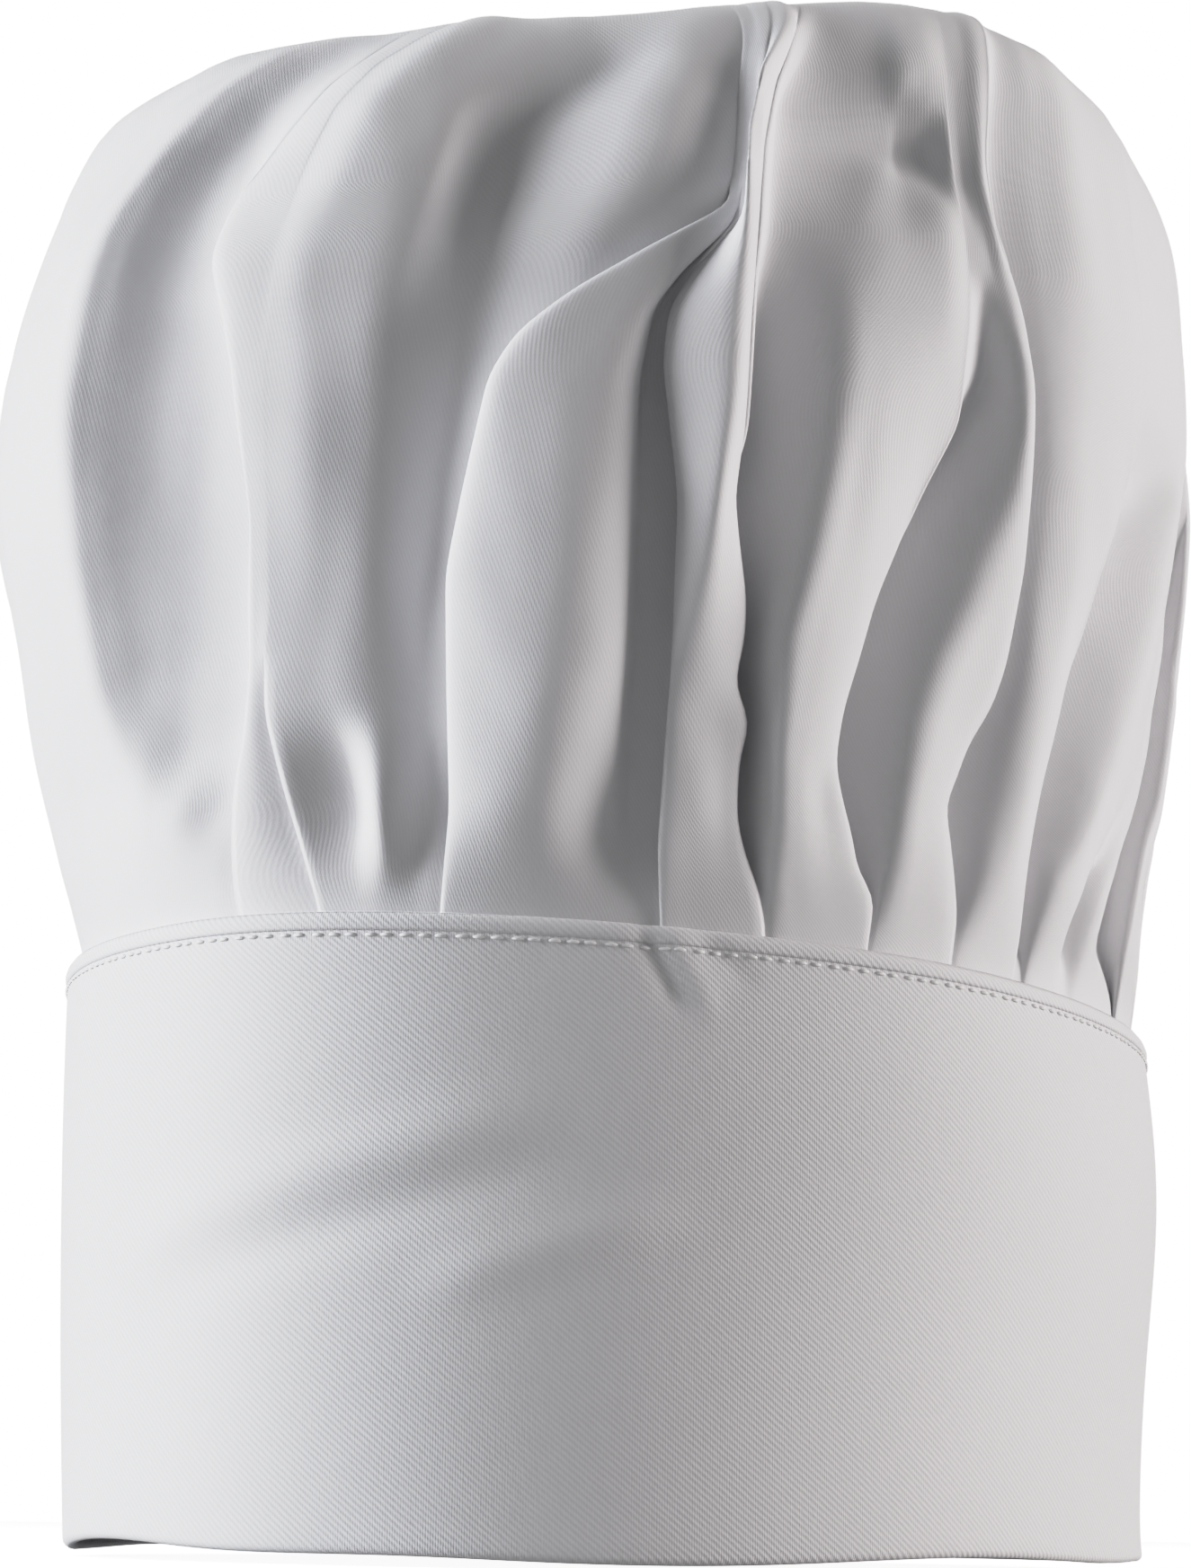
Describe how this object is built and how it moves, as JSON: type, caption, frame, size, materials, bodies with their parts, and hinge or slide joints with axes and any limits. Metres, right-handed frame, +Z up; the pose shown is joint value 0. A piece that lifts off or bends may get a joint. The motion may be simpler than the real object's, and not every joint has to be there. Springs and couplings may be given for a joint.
{
  "type": "chef toque",
  "caption": "Soft white chef's toque: tall twill band with hook-and-loop tab at the back, topstitched top edge and a full pleated crown.",
  "frame": {"origin": "on the surface the hat stands on, below the middle of the crown", "axes": "+Z up through the crown, -Y towards the front of the hat, +X towards the wearer's left"},
  "size_m": [0.196, 0.237, 0.24],
  "materials": {
    "band_twill": "matte white cotton twill with diagonal wales",
    "crown_cloth": "matte fine white cotton with faint ribs",
    "interfacing": "matte felted interfacing",
    "thread": "soft sheen spun sewing thread",
    "closure_tape": "matte hook and loop pile",
    "label_satin": "smooth woven satin"
  },
  "bodies": {
    "hat": {"band_cover": "band_twill", "band_stiffener": "interfacing", "band_top_welt": "band_twill", "band_topstitch": "thread", "crown_wall": "crown_cloth", "crown_gather_thread": "thread", "crown_seam_thread": "thread", "under_end_stitch": "thread", "loop_tape": "closure_tape", "loop_tape_stitch": "thread", "bar_tack_left": "thread", "bar_tack_right": "thread", "care_label": "label_satin", "label_stitch": "thread"},
    "closure_tab": {"tab_cover": "band_twill", "tab_stiffener": "interfacing", "tab_edge_stitch": "thread", "hook_tape": "closure_tape", "hook_tape_stitch": "thread"},
    "crown_cap": {"crown_top": "crown_cloth"}
  },
  "joints": [
    {"name": "closure_peel", "type": "hinge", "parent": "hat", "child": "closure_tab", "pos_m": [-0.02485, 0.10089, 0.0435], "axis": [0, 0, 1], "range_deg": [0, 120]},
    {"name": "crown_press", "type": "slide", "parent": "hat", "child": "crown_cap", "axis": [0, 0, -1], "range_m": [0, 0.095], "deforming": ["crown_wall"]}
  ]
}
